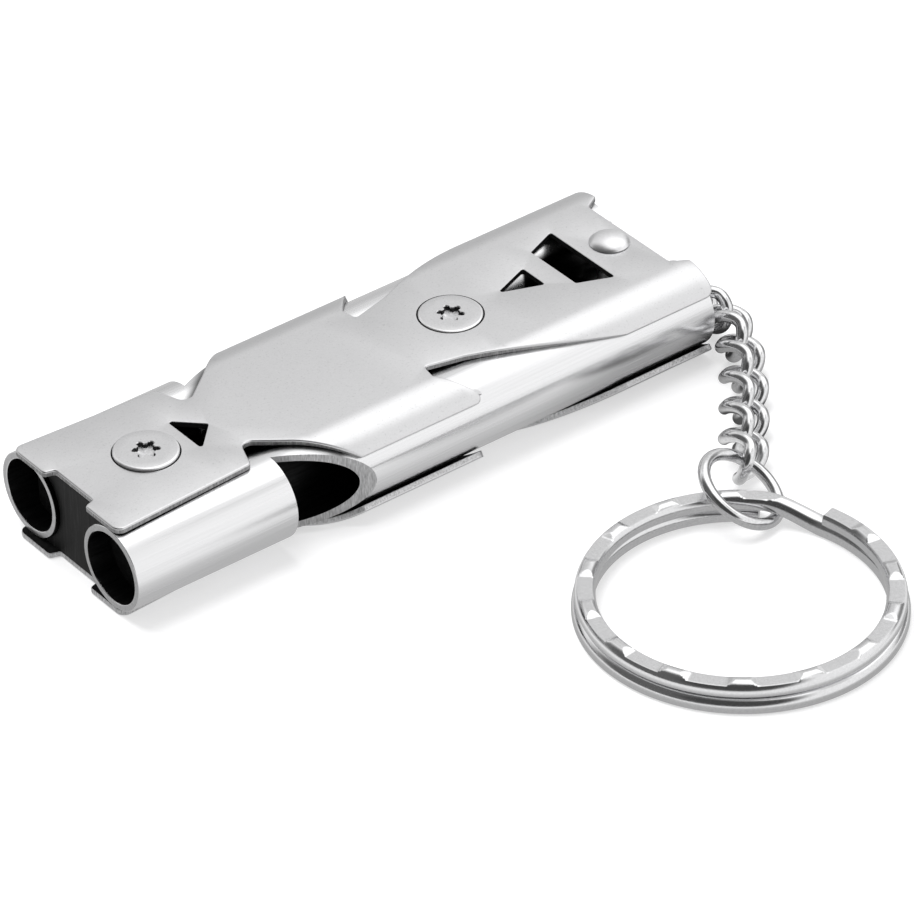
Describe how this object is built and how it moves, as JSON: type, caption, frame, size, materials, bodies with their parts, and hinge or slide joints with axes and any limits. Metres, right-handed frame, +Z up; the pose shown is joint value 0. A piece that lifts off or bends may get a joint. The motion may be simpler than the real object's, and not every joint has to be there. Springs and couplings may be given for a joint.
{
  "type": "bird training whistle",
  "caption": "Steel dog and bird training whistle: side-by-side tubes with sound windows between wrapped cover plates, with a curb chain, jump ring and split key ring.",
  "frame": {"origin": "middle of the underside of the lower cover plate, on the surface that the whistle lies on, half way along the tubes", "axes": "+X along the tubes from the mouth to the chain end, +Y towards the left tube, +Z up through both cover plates"},
  "size_m": [0.0646, 0.0616, 0.0095],
  "materials": {
    "tube": "polished steel tube",
    "plate": "bead-blasted matt steel sheet",
    "plug": "matt black",
    "spacer": "dark matt, faint vertical grain",
    "screw": "satin steel",
    "pin": "polished steel",
    "chain": "polished steel wire",
    "ring": "plated spring steel with pressed flats"
  },
  "bodies": {
    "whistle": {"left_tube": "tube", "right_tube": "tube", "left_fipple_plug": "plug", "right_fipple_plug": "plug", "left_end_plug": "tube", "right_end_plug": "tube", "top_plate": "plate", "bottom_plate": "plate", "mouth_spacer": "spacer", "rear_spacer": "spacer", "top_front_screw": "screw", "top_rear_screw": "screw", "bottom_front_screw": "screw", "bottom_rear_screw": "screw", "chain_pin": "pin"},
    "link_1": {"chain_link_1": "chain"},
    "link_2": {"chain_link_2": "chain"},
    "link_3": {"chain_link_3": "chain"},
    "link_4": {"chain_link_4": "chain"},
    "link_5": {"chain_link_5": "chain"},
    "link_6": {"chain_link_6": "chain"},
    "link_7": {"chain_link_7": "chain"},
    "link_8": {"chain_link_8": "chain"},
    "jump": {"jump_ring": "chain"},
    "key": {"split_ring": "ring"}
  },
  "joints": [
    {"name": "pin_swing", "type": "hinge", "parent": "whistle", "child": "link_1", "pos_m": [0.02657, 0, 0.00305], "axis": [0, 0, 1], "range_deg": [0, 6]},
    {"name": "link_2_swing", "type": "hinge", "parent": "link_1", "child": "link_2", "pos_m": [0.03054, 0.00014, 0.003], "axis": [0.0089, 0.1049, 0.9944], "range_deg": [0, 60]},
    {"name": "link_3_swing", "type": "hinge", "parent": "link_2", "child": "link_3", "pos_m": [0.03227, -0.00278, 0.00294], "axis": [-0.9919, -0.0729, 0.1045], "range_deg": [-8, 4]},
    {"name": "link_4_swing", "type": "hinge", "parent": "link_3", "child": "link_4", "pos_m": [0.03266, -0.00836, 0.00275], "axis": [0.2097, -0.0184, 0.9776], "range_deg": [-2, 40]},
    {"name": "link_5_swing", "type": "hinge", "parent": "link_4", "child": "link_5", "pos_m": [0.03139, -0.01143, 0.00259], "axis": [-0.8002, 0.5741, 0.1735], "range_deg": [-20, 20]},
    {"name": "link_6_swing", "type": "hinge", "parent": "link_5", "child": "link_6", "pos_m": [0.0281, -0.01596, 0.0024], "axis": [0.204, -0.1882, 0.9607], "range_deg": [-15, 30]},
    {"name": "link_7_swing", "type": "hinge", "parent": "link_6", "child": "link_7", "pos_m": [0.02599, -0.0185, 0.00235], "axis": [-0.7432, 0.6461, 0.1736], "range_deg": [-20, 20]},
    {"name": "link_8_swing", "type": "hinge", "parent": "link_7", "child": "link_8", "pos_m": [0.02232, -0.02272, 0.00235], "axis": [0.208, -0.1808, 0.9613], "range_deg": [-20, 30]},
    {"name": "jump_ring_swing", "type": "hinge", "parent": "link_8", "child": "jump", "pos_m": [0.01953, -0.02617, 0.00265], "axis": [0.2805, -0.1446, 0.9489], "range_deg": [-30, 35]},
    {"name": "split_ring_swing", "type": "hinge", "parent": "jump", "child": "key", "pos_m": [0.01766, -0.02877, 0.00209], "axis": [-0.7322, 0.6811, 0], "range_deg": [0, 25]}
  ]
}
